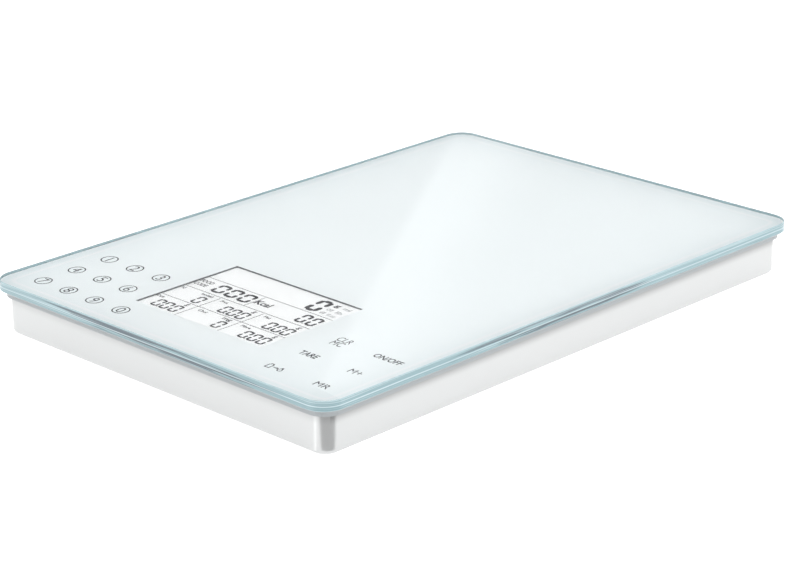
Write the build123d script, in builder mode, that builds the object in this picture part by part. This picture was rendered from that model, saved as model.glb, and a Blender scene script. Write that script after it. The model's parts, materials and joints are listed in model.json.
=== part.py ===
"""Slim kitchen scale: a tempered glass platform on a shallow tub that weighs through four corner feet.

Frame: millimetres, +Z up, origin at the centre of the footprint on the surface the scale stands on.
The user stands on the -Y side, where the display and the touch keys are.
"""

from build123d import *
import os
from math import radians, tan

# ---------------------------------------------------------------- driving dimensions, mm
plate_width = 180.0  # glass, along X
plate_depth = 258.0  # glass, along Y
plate_thickness = 4.0
plate_corner = 9.0
plate_arris = 0.5  # ground chamfer round the glass

foot_lift = 1.5  # from the table up to the tub's underside

print_thickness = 0.15
print_margin = 0.8  # from the glass edge to the printed layer
tape_thickness = 0.5
tape_width = 4.5
tape_margin = 2.0  # from the carrier's rim to the tape
carrier_flange = 2.0  # thickness of the carrier's rim and deck
carrier_margin = 2.2  # from the glass edge to the carrier's rim
carrier_skirt = 3.0
carrier_skirt_wall = 1.4

body_margin = 3.8  # from the glass edge to the tub's wall
body_corner = 6.0
body_wall = 2.2
body_floor = 2.0
body_bottom_round = 2.0
rib_height = 2.5
rib_width = 1.2
rib_spread = 34.0  # from the centre line to the long ribs

screw_radius = 1.15
screw_head_radius = 2.3
screw_head_height = 1.6
screw_length = 9.0
screw_recess = 1.4  # from the tub's underside up to the screw head
boss_radius = 3.5
skirt_room = 2.0  # from the tub's wall to a boss
boss_seam_height = 10.0  # where the tub's pillars meet the carrier's bosses

seat_side_gap = 0.3  # from a load cell's seat to the tub's side wall
seat_end_gap = 1.3  # and to its end wall
cell_size = 28.0
cell_thickness = 2.0
cell_corner = 2.0
cell_slot = 2.0
cell_border = 5.0  # from the plate's edge to the root of its tongue
tongue_width = 10.0
tongue_length = 18.0
cell_height = 7.0  # underside of a load cell
gauge_length = 5.0
gauge_width = 3.0
gauge_thickness = 0.2
cap_wall = 1.5
cap_roof = 1.2
cap_grip = 2.0  # how far the cap reaches over the plate's frame
cap_head_room = 2.2  # over the load cell, for the foot's barb
ear_radius = 3.5
ear_reach = 3.2  # from the cap's side to the ear's screw
ear_room = 7.0  # least distance from a side ear's screw to a board screw, in plan

foot_radius = 10.0
foot_height = 4.1
foot_rim_round = 0.5
foot_clearance = 0.6  # round the foot in the tub's floor
shoulder_radius = 4.5
spigot_radius = 2.5
barb_radius = 3.1
barb_height = 1.1
barb_taper = 25.0  # degrees
pad_radius = 7.5
pad_thickness = 1.2
pad_recess = 0.7

window_width = 67.8
window_depth = 50.4
window_corner = 1.0
window_inset = 23.8  # from the front glass edge to the window
gasket_thickness = 0.6
gasket_width = 4.2
polarizer_thickness = 0.2
polarizer_overlap = 1.0
lcd_glass = 1.1
lcd_side = 3.1  # how far the panel reaches past the window at each side
lcd_end = 2.8
lcd_ledge = 3.0  # the front glass stands out past the rear glass for the contacts
frame_wall = 1.4
deck_window_gap = 0.3  # round the display's frame in the carrier's deck
frame_ledge = 5.0
zebra_width = 1.8

board_side = 6.4  # how far the board reaches past the display's frame at each side
board_end = 1.4
board_thickness = 1.2
board_clearance = 0.3  # over the screws of the load cell caps
board_screw_inset = 3.2  # from the board's side edge to its screws
board_screw_setback = 5.0  # and from its front and rear edges
board_boss_radius = 2.3
board_screw_radius = 0.9
board_screw_length = 4.5
board_screw_head = 1.2

touch_thickness = 1.0
touch_depth = 40.0
touch_gap = 1.6  # from the display's frame to a touch board
touch_pocket_gap = 0.2
touch_edge_gap = 0.6  # from the tape to a touch board
zero_key_reach = 16.0  # the left board's tongue, under the key beside the display
zero_key_depth = 8.6
header_pitch = 2.0
header_pins = 8
header_pin = 0.6
header_width = 2.2
header_body_height = 2.4
header_setback = 12.0  # in front of the window's centre

cell_count = 3
battery_radius = 5.25
battery_length = 44.5
battery_spacing = 0.5  # between neighbouring cells
button_radius = 1.9
button_height = 1.0
contact_thickness = 0.4
contact_half = 4.1  # half a contact plate's width and height
leg_half = 1.4
leg_reach = 2.4  # how far a contact's leg stands out of the bay
spring_length = 5.7
spring_radius = 3.0
spring_wire = 0.25
spring_turns = 4
bay_front = 20.0  # the bay's front end, from the centre of the scale
bay_wall = 1.6
bay_roof = 1.2
bay_head_room = 0.95  # from the bay's roof up to the carrier's deck
bay_gap = 0.3

door_thickness = 1.6
door_lip = 3.2  # how far the door reaches past the bay on each side
door_gap = 0.25
door_front = 7.0  # from the bay's front end to the door's front edge
hinge_gap = 0.25
trunnion_radius = 0.8
trunnion_length = 1.6
trunnion_clearance = 0.06
block_wall = 2.0  # round the door's recess
block_height = 4.6  # the thick pad round the door, over the tub's underside
latch_width = 12.0
latch_wall = 1.0
latch_height = 7.0
latch_hook = 0.5
latch_slot = 1.25
latch_gap = 0.5  # at each side of the latch
hook_height = 1.4

lead_radius = 0.5
lead_height = 8.0
lead_offset = 8.0  # from a foot's centre line to its cell's lead
contact_pitch = 1.5  # from a connector's middle to each of its leads
connector_x = 30.0
connector_width = 9.0
connector_depth = 8.0
connector_height = 3.6

label_width = 60.0
label_depth = 32.0
label_thickness = 0.15
label_corner = 2.0

fit_gap = 0.05  # radial, round screws and the foot's spigot
seat_gap = 0.2  # round pieces that drop into a pocket

# ---------------------------------------------------------------- levels, from the table up
floor_top = foot_lift + body_floor
battery_axis = foot_lift + door_thickness + bay_gap + battery_radius
bay_ceiling = battery_axis + battery_radius + bay_gap
bay_top = bay_ceiling + bay_roof

deck_bottom = bay_top + bay_head_room
tape_bottom = deck_bottom + carrier_flange
print_bottom = tape_bottom + tape_thickness
glass_bottom = print_bottom + print_thickness
touch_bottom = print_bottom - touch_thickness

polarizer_top = print_bottom - gasket_thickness
lcd_top = polarizer_top - polarizer_thickness
lcd_middle = lcd_top - lcd_glass
lcd_bottom = lcd_middle - lcd_glass

cell_top = cell_height + cell_thickness
cap_top = cell_top + cap_head_room + cap_roof
board_underside = cell_top + board_screw_head + board_clearance
board_top = board_underside + board_thickness
foot_bottom = pad_thickness - pad_recess
foot_top = foot_bottom + foot_height

# ---------------------------------------------------------------- places in plan
body_width = plate_width - 2 * body_margin
body_depth = plate_depth - 2 * body_margin
inner_width = body_width - 2 * body_wall
inner_depth = body_depth - 2 * body_wall
inner_corner = body_corner - body_wall
carrier_width = plate_width - 2 * carrier_margin
carrier_depth = plate_depth - 2 * carrier_margin
tape_outer_width = carrier_width - 2 * tape_margin
tape_outer_depth = carrier_depth - 2 * tape_margin

window_y = -plate_depth / 2 + window_inset + window_depth / 2
lcd_width = window_width + 2 * lcd_side
lcd_depth = window_depth + 2 * lcd_end
frame_width = lcd_width + 2 * (seat_gap + frame_wall)
frame_depth = lcd_depth + 2 * (seat_gap + frame_wall)
deck_window_width = frame_width + 2 * deck_window_gap
deck_window_depth = frame_depth + 2 * deck_window_gap
zebra_offset = lcd_depth / 2 - lcd_ledge / 2
board_width = frame_width + 2 * board_side
board_depth = frame_depth + 2 * board_end
board_screw_x = board_width / 2 - board_screw_inset
board_screw_y = board_depth / 2 - board_screw_setback

touch_inner = frame_width / 2 + touch_gap
touch_outer = tape_outer_width / 2 - tape_width - touch_edge_gap
touch_front = -tape_outer_depth / 2 + tape_width + touch_edge_gap
touch_rear = touch_front + touch_depth
zero_key_rear = touch_front + zero_key_depth
header_x = (touch_inner + board_width / 2) / 2
header_y = window_y - header_setback

cap_outer = cell_size + 2 * (seat_gap + cap_wall)
foot_x = inner_width / 2 - seat_side_gap - cap_outer / 2
foot_y = inner_depth / 2 - seat_end_gap - cap_outer / 2
ear_offset = cap_outer / 2 + ear_reach
ear_shift = 2 * max(0.0, ear_room - (foot_x - ear_offset - board_screw_x))  # outwards
corners = {
    "front_left": (-1, -1),
    "front_right": (1, -1),
    "rear_left": (-1, 1),
    "rear_right": (1, 1),
}

side_screw_x = inner_width / 2 - boss_radius - skirt_room
side_screw_y = foot_y - cap_outer / 2 - 3 * boss_radius
end_screw_y = inner_depth / 2 - boss_radius - skirt_room
case_screws = [(sx * side_screw_x, y) for sx in (-1, 1) for y in (-side_screw_y, 0.0, side_screw_y)]
case_screws += [(0.0, -end_screw_y), (0.0, end_screw_y)]
case_screw_head = foot_lift + screw_recess

battery_pitch = 2 * battery_radius + battery_spacing
bay_width = (cell_count - 1) * battery_pitch + 2 * (battery_radius + bay_gap)
bay_length = battery_length + spring_length + 2 * contact_thickness
bay_rear = bay_front + bay_length
battery_places = [(i - (cell_count - 1) / 2) * battery_pitch for i in range(cell_count)]
front_wall = bay_front - bay_wall
rear_wall = bay_rear + bay_wall

door_width = bay_width + 2 * door_lip
door_front_edge = bay_front - door_front
hinge_y = rear_wall + hinge_gap + door_thickness
hinge_z = foot_lift + door_thickness
block_width = door_width + 2 * (door_gap + trunnion_length + block_wall)
block_front = door_front_edge - 2 * block_wall
block_rear = hinge_y + door_thickness + hinge_gap + block_wall
block_top = foot_lift + block_height

connector_rear = window_y + board_depth / 2 - 1.0

os.makedirs("parts", exist_ok=True)


def save(piece, name):
    """Label a finished piece and write it as its own STEP file."""
    piece.part.label = name
    export_step(piece.part, f"parts/{name}.step")


def box_profile(x0, x1, y0, y1, corner=0.0):
    """A rectangle between two corners, in the sketch that is open."""
    with Locations(((x0 + x1) / 2, (y0 + y1) / 2)):
        if corner:
            RectangleRounded(x1 - x0, y1 - y0, corner)
        else:
            Rectangle(x1 - x0, y1 - y0)


# ---------------------------------------------------------------- platform
with BuildPart() as glass_platform:
    with BuildSketch(Plane.XY.offset(glass_bottom)):
        RectangleRounded(plate_width, plate_depth, plate_corner)
    extrude(amount=plate_thickness)
    rims = glass_platform.faces().filter_by(Axis.Z).edges()
    chamfer(rims, plate_arris)
save(glass_platform, "glass_platform")

# the printed layer stops short of the glass edge and leaves the display's window clear
with BuildPart() as back_print:
    with BuildSketch(Plane.XY.offset(print_bottom)):
        print_width = plate_width - 2 * print_margin
        print_depth = plate_depth - 2 * print_margin
        RectangleRounded(print_width, print_depth, plate_corner - print_margin)
        with Locations((0, window_y)):
            RectangleRounded(window_width, window_depth, window_corner, mode=Mode.SUBTRACT)
    extrude(amount=print_thickness)
save(back_print, "back_print")

with BuildPart() as bonding_tape:
    with BuildSketch(Plane.XY.offset(tape_bottom)):
        RectangleRounded(tape_outer_width, tape_outer_depth, body_corner)
        tape_hole_width = tape_outer_width - 2 * tape_width
        tape_hole_depth = tape_outer_depth - 2 * tape_width
        RectangleRounded(tape_hole_width, tape_hole_depth, 2.0, mode=Mode.SUBTRACT)
    extrude(amount=tape_thickness)
save(bonding_tape, "bonding_tape")


def touch_outline(side, grow=0.0):
    """One touch board's outline; the left one has a tongue under the last digit key."""
    inner = touch_inner - grow
    outer = touch_outer + grow
    front = touch_front - grow
    box_profile(*sorted((side * inner, side * outer)), front, touch_rear + grow)
    if side < 0:
        tongue_end = -touch_inner + zero_key_reach + grow
        box_profile(-outer, tongue_end, front, zero_key_rear + grow)


# ---------------------------------------------------------------- carrier under the glass
with BuildPart() as glass_carrier:
    with BuildSketch(Plane.XY.offset(deck_bottom)):
        RectangleRounded(carrier_width, carrier_depth, body_corner + body_margin - carrier_margin)
    extrude(amount=carrier_flange)
    # skirt that locates the carrier inside the tub's wall
    with BuildSketch(Plane.XY.offset(deck_bottom - carrier_skirt)):
        skirt_width = inner_width - 2 * seat_gap
        skirt_depth = inner_depth - 2 * seat_gap
        skirt_corner = inner_corner - seat_gap
        RectangleRounded(skirt_width, skirt_depth, skirt_corner)
        hole_width = skirt_width - 2 * carrier_skirt_wall
        hole_depth = skirt_depth - 2 * carrier_skirt_wall
        hole_corner = skirt_corner - carrier_skirt_wall
        RectangleRounded(hole_width, hole_depth, hole_corner, mode=Mode.SUBTRACT)
    extrude(amount=carrier_skirt)
    # bosses for the case screws and for the main board
    with BuildSketch(Plane.XY.offset(boss_seam_height)):
        with Locations(*case_screws):
            Circle(boss_radius)
    extrude(until=Until.NEXT)
    with BuildSketch(Plane.XY.offset(board_top)):
        with Locations((0, window_y)):
            with GridLocations(2 * board_screw_x, 2 * board_screw_y, 2, 2):
                Circle(board_boss_radius)
    extrude(until=Until.NEXT)
    # opening for the display's frame
    with BuildSketch(Plane.XY.offset(deck_bottom)):
        with Locations((0, window_y)):
            Rectangle(deck_window_width, deck_window_depth)
    extrude(amount=carrier_flange, mode=Mode.SUBTRACT)
    # pockets for the touch boards, with a slot for each header
    for side in (-1, 1):
        with BuildSketch(Plane.XY.offset(touch_bottom)):
            touch_outline(side, touch_pocket_gap)
        extrude(amount=touch_thickness, mode=Mode.SUBTRACT)
        with BuildSketch(Plane.XY.offset(deck_bottom)):
            with Locations((side * header_x, header_y)):
                Rectangle(header_width + 1.2, header_pitch * header_pins + 1.0)
        extrude(amount=carrier_flange, mode=Mode.SUBTRACT)
    # pilot holes, from below
    with BuildSketch(Plane.XY.offset(boss_seam_height)):
        with Locations(*case_screws):
            Circle(screw_radius + fit_gap)
    screw_tip = case_screw_head + screw_head_height + screw_length
    extrude(amount=screw_tip + 0.5 - boss_seam_height, mode=Mode.SUBTRACT)
    with BuildSketch(Plane.XY.offset(board_top)):
        with Locations((0, window_y)):
            with GridLocations(2 * board_screw_x, 2 * board_screw_y, 2, 2):
                Circle(board_screw_radius + fit_gap)
    extrude(amount=board_screw_length - board_thickness + 0.4, mode=Mode.SUBTRACT)
save(glass_carrier, "glass_carrier")

# ---------------------------------------------------------------- tub
tub_height = deck_bottom - foot_lift
seat_height = cell_height - floor_top
with BuildPart() as base_housing:
    with BuildSketch(Plane.XY.offset(foot_lift)):
        RectangleRounded(body_width, body_depth, body_corner)
    extrude(amount=tub_height)
    bottom_rim = base_housing.faces().sort_by(Axis.Z)[0].edges()
    fillet(bottom_rim, body_bottom_round)
    with BuildSketch(Plane.XY.offset(floor_top)):
        RectangleRounded(inner_width, inner_depth, inner_corner)
    extrude(amount=tub_height, mode=Mode.SUBTRACT)
    # stiffening ribs on the floor
    with BuildSketch(Plane.XY.offset(floor_top)):
        front_rib = window_y + board_depth / 2 + 4.0
        for x in (-rib_spread, rib_spread):
            box_profile(x - rib_width / 2, x + rib_width / 2, front_rib, inner_depth / 2)
        for y in (front_rib, block_front - 5.0, block_rear + 12.0):
            box_profile(-inner_width / 2, inner_width / 2, y - rib_width / 2, y + rib_width / 2)
    extrude(amount=rib_height)
    # seats for the load cells, with screw posts for their caps
    for sx, sy in corners.values():
        cx, cy = sx * foot_x, sy * foot_y
        with BuildSketch(Plane.XY.offset(floor_top)):
            with Locations((cx, cy)):
                Rectangle(cap_outer, cap_outer)
            with Locations((cx - sx * ear_offset, cy + sy * ear_shift), (cx, cy - sy * ear_offset)):
                Circle(ear_radius)
        extrude(amount=seat_height)
        with BuildSketch(Plane.XY.offset(foot_lift)):
            with Locations((cx, cy)):
                Circle(foot_radius + foot_clearance)
        extrude(amount=body_floor + seat_height, mode=Mode.SUBTRACT)
        with BuildSketch(Plane.XY.offset(cell_height)):
            with Locations((cx - sx * ear_offset, cy + sy * ear_shift), (cx, cy - sy * ear_offset)):
                Circle(board_screw_radius + fit_gap)
        extrude(amount=-board_screw_length, mode=Mode.SUBTRACT)
    # pillars for the case screws, counterbored from below
    with BuildSketch(Plane.XY.offset(floor_top)):
        with Locations(*case_screws):
            Circle(boss_radius)
    extrude(amount=boss_seam_height - floor_top)
    with BuildSketch(Plane.XY.offset(foot_lift)):
        with Locations(*case_screws):
            Circle(screw_radius + fit_gap)
    extrude(amount=boss_seam_height - foot_lift, mode=Mode.SUBTRACT)
    with BuildSketch(Plane.XY.offset(foot_lift)):
        with Locations(*case_screws):
            Circle(screw_head_radius + 0.2)
    extrude(amount=screw_recess + screw_head_height, mode=Mode.SUBTRACT)
    # battery bay: a box over the cells on a thicker pad that takes the door
    with BuildSketch(Plane.XY.offset(floor_top)):
        box_profile(-block_width / 2, block_width / 2, block_front, block_rear)
    extrude(amount=block_top - floor_top)
    with BuildSketch(Plane.XY.offset(floor_top)):
        wall_half = bay_width / 2 + bay_wall
        box_profile(-wall_half, wall_half, front_wall, rear_wall)
    extrude(amount=bay_top - floor_top)
    with BuildSketch(Plane.XY.offset(foot_lift)):
        box_profile(-bay_width / 2, bay_width / 2, bay_front, bay_rear)
    extrude(amount=bay_ceiling - foot_lift, mode=Mode.SUBTRACT)
    # recess for the door, a trough for its hinge barrel and a window for its latch
    with BuildSketch(Plane.XY.offset(foot_lift)):
        recess_half = door_width / 2 + door_gap
        box_profile(-recess_half, recess_half, door_front_edge - door_gap, hinge_y)
    extrude(amount=door_thickness + fit_gap, mode=Mode.SUBTRACT)
    with BuildSketch(Plane.XY.offset(foot_lift)):
        trough = door_thickness + hinge_gap
        box_profile(-recess_half, recess_half, hinge_y - trough, hinge_y + trough)
    extrude(amount=2 * door_thickness + hinge_gap, mode=Mode.SUBTRACT)
    with BuildSketch(Plane.XY.offset(foot_lift)):
        window_half = latch_width / 2 + latch_gap
        box_profile(-window_half, window_half, door_front_edge - door_gap, front_wall - seat_gap)
    extrude(amount=block_height, mode=Mode.SUBTRACT)
    with BuildSketch(Plane.YZ):
        with Locations((hinge_y, hinge_z)):
            Circle(trunnion_radius + trunnion_clearance)
    extrude(amount=recess_half + trunnion_length + seat_gap, both=True, mode=Mode.SUBTRACT)
    # slots for the legs of the two outer contacts
    slot_half = leg_half + seat_gap
    with BuildSketch(Plane.XY.offset(lead_height - slot_half)):
        box_profile(battery_places[0] - slot_half, battery_places[0] + slot_half, bay_rear, rear_wall)
        box_profile(battery_places[-1] - slot_half, battery_places[-1] + slot_half, front_wall, bay_front)
    extrude(amount=2 * slot_half, mode=Mode.SUBTRACT)
save(base_housing, "base_housing")


def pan_screws(places, head_bottom, shank_radius, head_radius, head_height, shank_length):
    """Screws driven upwards; the head's flat top sits against what they hold."""
    with BuildPart() as screws:
        with BuildSketch(Plane.XY.offset(head_bottom)):
            with Locations(*places):
                Circle(head_radius)
        extrude(amount=head_height)
        with BuildSketch(Plane.XY.offset(head_bottom + head_height)):
            with Locations(*places):
                Circle(shank_radius)
        extrude(amount=shank_length)
        # cross recess
        with BuildSketch(Plane.XY.offset(head_bottom)):
            with Locations(*places):
                Rectangle(head_radius * 1.1, head_radius * 0.25)
                Rectangle(head_radius * 0.25, head_radius * 1.1)
        extrude(amount=head_height * 0.6, mode=Mode.SUBTRACT)
    return screws


case_screw_set = pan_screws(
    case_screws, case_screw_head, screw_radius, screw_head_radius, screw_head_height, screw_length
)
save(case_screw_set, "case_screws")

# ---------------------------------------------------------------- weighing corners
cap_screw_places = []
gauge_places = []
for name, (sx, sy) in corners.items():
    cx, cy = sx * foot_x, sy * foot_y
    ear_y = cy + sy * ear_shift
    ears = [(cx - sx * ear_offset, ear_y), (cx, cy - sy * ear_offset)]
    cap_screw_places += ears
    gauge_x = cx - sx * (cell_size / 2 - cell_border + 0.5)
    gauge_places += [(gauge_x, cy - gauge_width), (gauge_x, cy + gauge_width)]

    # square spring plate with a tongue that the foot hangs from
    with BuildPart() as load_cell:
        with BuildSketch(Plane.XY.offset(cell_height)):
            with Locations((cx, cy)):
                RectangleRounded(cell_size, cell_size, cell_corner)
            tongue_root = cx - sx * (cell_size / 2 - cell_border)
            tongue_tip = tongue_root + sx * tongue_length
            slot_end = tongue_tip + sx * cell_slot
            slot_sides = sorted((tongue_root, slot_end))
            slot_half = tongue_width / 2 + cell_slot
            with BuildSketch(mode=Mode.PRIVATE) as slot:
                box_profile(*slot_sides, cy - slot_half, cy + slot_half)
                tongue_sides = sorted((tongue_root, tongue_tip))
                with BuildSketch(mode=Mode.PRIVATE) as tongue:
                    box_profile(*tongue_sides, cy - tongue_width / 2, cy + tongue_width / 2)
                add(tongue.sketch, mode=Mode.SUBTRACT)
            add(slot.sketch, mode=Mode.SUBTRACT)
            with Locations((cx, cy)):
                Circle(spigot_radius + fit_gap, mode=Mode.SUBTRACT)
        extrude(amount=cell_thickness)
    save(load_cell, f"load_cell_{name}")

    # cap that clamps the plate's frame and gives the tongue head room
    with BuildPart() as cell_cap:
        with BuildSketch(Plane.XY.offset(cell_height)):
            with Locations((cx, cy)):
                RectangleRounded(cap_outer, cap_outer, cell_corner)
        extrude(amount=cap_top - cell_height)
        with BuildSketch(Plane.XY.offset(cell_height)):
            with Locations(*ears):
                Circle(ear_radius)
            box_profile(*sorted((cx - sx * ear_offset, cx)), ear_y - ear_radius, ear_y + ear_radius)
            box_profile(cx - ear_radius, cx + ear_radius, *sorted((cy - sy * ear_offset, cy)))
        extrude(amount=cell_thickness)
        with BuildSketch(Plane.XY.offset(cell_height)):
            with Locations((cx, cy)):
                plate_hole = cell_size + 2 * seat_gap
                Rectangle(plate_hole, plate_hole)
            lead_y = cy - sy * lead_offset
            lead_half = lead_radius + 0.3
            box_profile(*sorted((cx - sx * cap_outer, cx)), lead_y - lead_half, lead_y + lead_half)
        extrude(amount=cell_thickness, mode=Mode.SUBTRACT)
        with BuildSketch(Plane.XY.offset(cell_top)):
            with Locations((cx, cy)):
                Rectangle(cell_size - 2 * cap_grip, cell_size - 2 * cap_grip)
        extrude(amount=cap_head_room, mode=Mode.SUBTRACT)
        with BuildSketch(Plane.XY.offset(cell_height)):
            with Locations(*ears):
                Circle(board_screw_radius + fit_gap)
        extrude(amount=cell_thickness, mode=Mode.SUBTRACT)
    save(cell_cap, f"cell_cap_{name}")

    # foot: a disc under the tub, with a barbed spigot through the tongue
    with BuildPart() as foot:
        with BuildSketch(Plane.XY.offset(foot_bottom)):
            with Locations((cx, cy)):
                Circle(foot_radius)
        extrude(amount=foot_height)
        fillet(foot.faces().sort_by(Axis.Z)[0].edges(), foot_rim_round)
        with BuildSketch(Plane.XY.offset(foot_bottom)):
            with Locations((cx, cy)):
                Circle(pad_radius + fit_gap)
        extrude(amount=pad_recess, mode=Mode.SUBTRACT)
        with BuildSketch(Plane.XY.offset(foot_top)):
            with Locations((cx, cy)):
                Circle(shoulder_radius)
        extrude(amount=cell_height - foot_top)
        with BuildSketch(Plane.XY.offset(cell_height)):
            with Locations((cx, cy)):
                Circle(spigot_radius)
        extrude(amount=cell_thickness + fit_gap)
        with BuildSketch(Plane.XY.offset(cell_top + fit_gap)):
            with Locations((cx, cy)):
                Circle(barb_radius)
        extrude(amount=barb_height, taper=barb_taper)
    save(foot, f"foot_{name}")

    with BuildPart() as foot_pad:
        with BuildSketch():
            with Locations((cx, cy)):
                Circle(pad_radius)
        extrude(amount=pad_thickness)
        chamfer(foot_pad.faces().sort_by(Axis.Z)[0].edges(), 0.3)
    save(foot_pad, f"foot_pad_{name}")

with BuildPart() as strain_gauges:
    with BuildSketch(Plane.XY.offset(cell_top)):
        with Locations(*gauge_places):
            Rectangle(gauge_length, gauge_width)
    extrude(amount=gauge_thickness)
save(strain_gauges, "strain_gauges")

with BuildPart() as cap_screws:
    with BuildSketch(Plane.XY.offset(cell_top)):
        with Locations(*cap_screw_places):
            Circle(2 * board_screw_radius)
    extrude(amount=board_screw_head)
    with BuildSketch(Plane.XY.offset(cell_top)):
        with Locations(*cap_screw_places):
            Circle(board_screw_radius)
    extrude(amount=-board_screw_length)
save(cap_screws, "cap_screws")

# ---------------------------------------------------------------- display
with BuildPart() as lcd_gasket:
    with BuildSketch(Plane.XY.offset(polarizer_top)):
        with Locations((0, window_y)):
            Rectangle(window_width + 2 * gasket_width, window_depth + 2 * gasket_width)
            RectangleRounded(window_width, window_depth, window_corner, mode=Mode.SUBTRACT)
    extrude(amount=gasket_thickness)
save(lcd_gasket, "lcd_gasket")

polarizer_width = window_width + 2 * polarizer_overlap
polarizer_depth = window_depth + 2 * polarizer_overlap
with BuildPart() as front_polarizer:
    with BuildSketch(Plane.XY.offset(lcd_top)):
        with Locations((0, window_y)):
            Rectangle(polarizer_width, polarizer_depth)
    extrude(amount=polarizer_thickness)
save(front_polarizer, "lcd_front_polarizer")

with BuildPart() as lcd_front_glass:
    with BuildSketch(Plane.XY.offset(lcd_middle)):
        with Locations((0, window_y)):
            Rectangle(lcd_width, lcd_depth)
    extrude(amount=lcd_glass)
save(lcd_front_glass, "lcd_front_glass")

with BuildPart() as lcd_rear_glass:
    with BuildSketch(Plane.XY.offset(lcd_bottom)):
        with Locations((0, window_y)):
            Rectangle(lcd_width, lcd_depth - 2 * lcd_ledge)
    extrude(amount=lcd_glass)
save(lcd_rear_glass, "lcd_rear_glass")

frame_hole_width = lcd_width - 2 * frame_ledge
frame_hole_depth = lcd_depth - 2 * (lcd_ledge + 1.0)
with BuildPart() as reflector:
    with BuildSketch(Plane.XY.offset(lcd_bottom - polarizer_thickness)):
        with Locations((0, window_y)):
            Rectangle(frame_hole_width - 1.0, frame_hole_depth - 1.0)
    extrude(amount=polarizer_thickness)
save(reflector, "lcd_reflector")

with BuildPart() as lcd_frame:
    with BuildSketch(Plane.XY.offset(board_top)):
        with Locations((0, window_y)):
            RectangleRounded(frame_width, frame_depth, frame_wall)
    extrude(amount=polarizer_top - board_top)
    with BuildSketch(Plane.XY.offset(lcd_bottom)):
        with Locations((0, window_y)):
            Rectangle(lcd_width + 2 * seat_gap, lcd_depth + 2 * seat_gap)
    extrude(amount=polarizer_top - lcd_bottom, mode=Mode.SUBTRACT)
    with BuildSketch(Plane.XY.offset(board_top)):
        with Locations((0, window_y)):
            Rectangle(frame_hole_width, frame_hole_depth)
            with GridLocations(1, 2 * zebra_offset, 1, 2):
                Rectangle(lcd_width - frame_ledge + 0.6, zebra_width + 0.2)
    extrude(amount=lcd_bottom - board_top, mode=Mode.SUBTRACT)
save(lcd_frame, "lcd_frame")

with BuildPart() as zebra_strips:
    with BuildSketch(Plane.XY.offset(board_top)):
        with Locations((0, window_y)):
            with GridLocations(1, 2 * zebra_offset, 1, 2):
                Rectangle(lcd_width - frame_ledge, zebra_width)
    extrude(amount=lcd_middle - board_top)
save(zebra_strips, "zebra_strips")

# ---------------------------------------------------------------- main board
with BuildPart() as main_board:
    with BuildSketch(Plane.XY.offset(board_underside)):
        with Locations((0, window_y)):
            RectangleRounded(board_width, board_depth, 1.5)
            with GridLocations(2 * board_screw_x, 2 * board_screw_y, 2, 2):
                Circle(board_screw_radius + fit_gap, mode=Mode.SUBTRACT)
    extrude(amount=board_thickness)
save(main_board, "main_board")

board_screw_places = []
for sx in (-1, 1):
    for sy in (-1, 1):
        board_screw_places.append((sx * board_screw_x, window_y + sy * board_screw_y))
board_screw_set = pan_screws(
    board_screw_places,
    board_underside - board_screw_head,
    board_screw_radius,
    2 * board_screw_radius,
    board_screw_head,
    board_screw_length,
)
save(board_screw_set, "board_screws")

with BuildPart() as main_chip:
    with BuildSketch(Plane.XY.offset(board_underside)):
        with Locations((-12, window_y - 3)):
            Circle(7.0)
    extrude(amount=-1.6, taper=30)
save(main_chip, "main_chip")

with BuildPart() as amplifier_chip:
    with BuildSketch(Plane.XY.offset(board_underside)):
        with Locations((-29, window_y + 4)):
            Rectangle(8.0, 5.0)
    extrude(amount=-1.5)
save(amplifier_chip, "amplifier_chip")

with BuildPart() as buzzer:
    with BuildSketch(Plane.XY.offset(board_underside)):
        with Locations((20, window_y - 12)):
            Circle(6.0)
    extrude(amount=-4.4)
    with BuildSketch(Plane.XY.offset(board_underside - 4.4)):
        with Locations((20, window_y - 12)):
            Circle(1.0)
    extrude(amount=1.5, mode=Mode.SUBTRACT)
save(buzzer, "buzzer")

with BuildPart() as crystal:
    with BuildSketch(Plane.XY.offset(board_underside)):
        with Locations((2, window_y + 8)):
            SlotOverall(9.0, 3.4)
    extrude(amount=-2.6)
save(crystal, "crystal")

with BuildPart() as board_capacitors:
    with BuildSketch(Plane.XY.offset(board_underside)):
        with Locations((17, window_y + 9)):
            with GridLocations(4.5, 4.0, 4, 2):
                Rectangle(2.0, 1.2)
        with Locations((-29, window_y - 10)):
            with GridLocations(4.0, 3.5, 2, 3):
                Rectangle(2.0, 1.2)
    extrude(amount=-0.9)
save(board_capacitors, "board_capacitors")

with BuildPart() as lead_connectors:
    for x in (-connector_x, 0.0, connector_x):
        with BuildSketch(Plane.XY.offset(board_underside)):
            half = connector_width / 2
            box_profile(x - half, x + half, connector_rear - connector_depth, connector_rear)
        extrude(amount=-connector_height)
save(lead_connectors, "lead_connectors")

# ---------------------------------------------------------------- touch boards
for side, name in ((-1, "left"), (1, "right")):
    with BuildPart() as touch_board:
        with BuildSketch(Plane.XY.offset(touch_bottom)):
            touch_outline(side)
        extrude(amount=touch_thickness)
    save(touch_board, f"touch_board_{name}")

    # pin header between the touch board and the main board
    with BuildPart() as touch_header:
        with BuildSketch(Plane.XY.offset(board_top)):
            with Locations((side * header_x, header_y)):
                Rectangle(header_width, header_pitch * header_pins)
        extrude(amount=header_body_height)
        with BuildSketch(Plane.XY.offset(board_top)):
            with Locations((side * header_x, header_y)):
                with GridLocations(1, header_pitch, 1, header_pins):
                    Rectangle(header_pin, header_pin)
        extrude(amount=touch_bottom - board_top)
    save(touch_header, f"touch_header_{name}")

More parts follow.
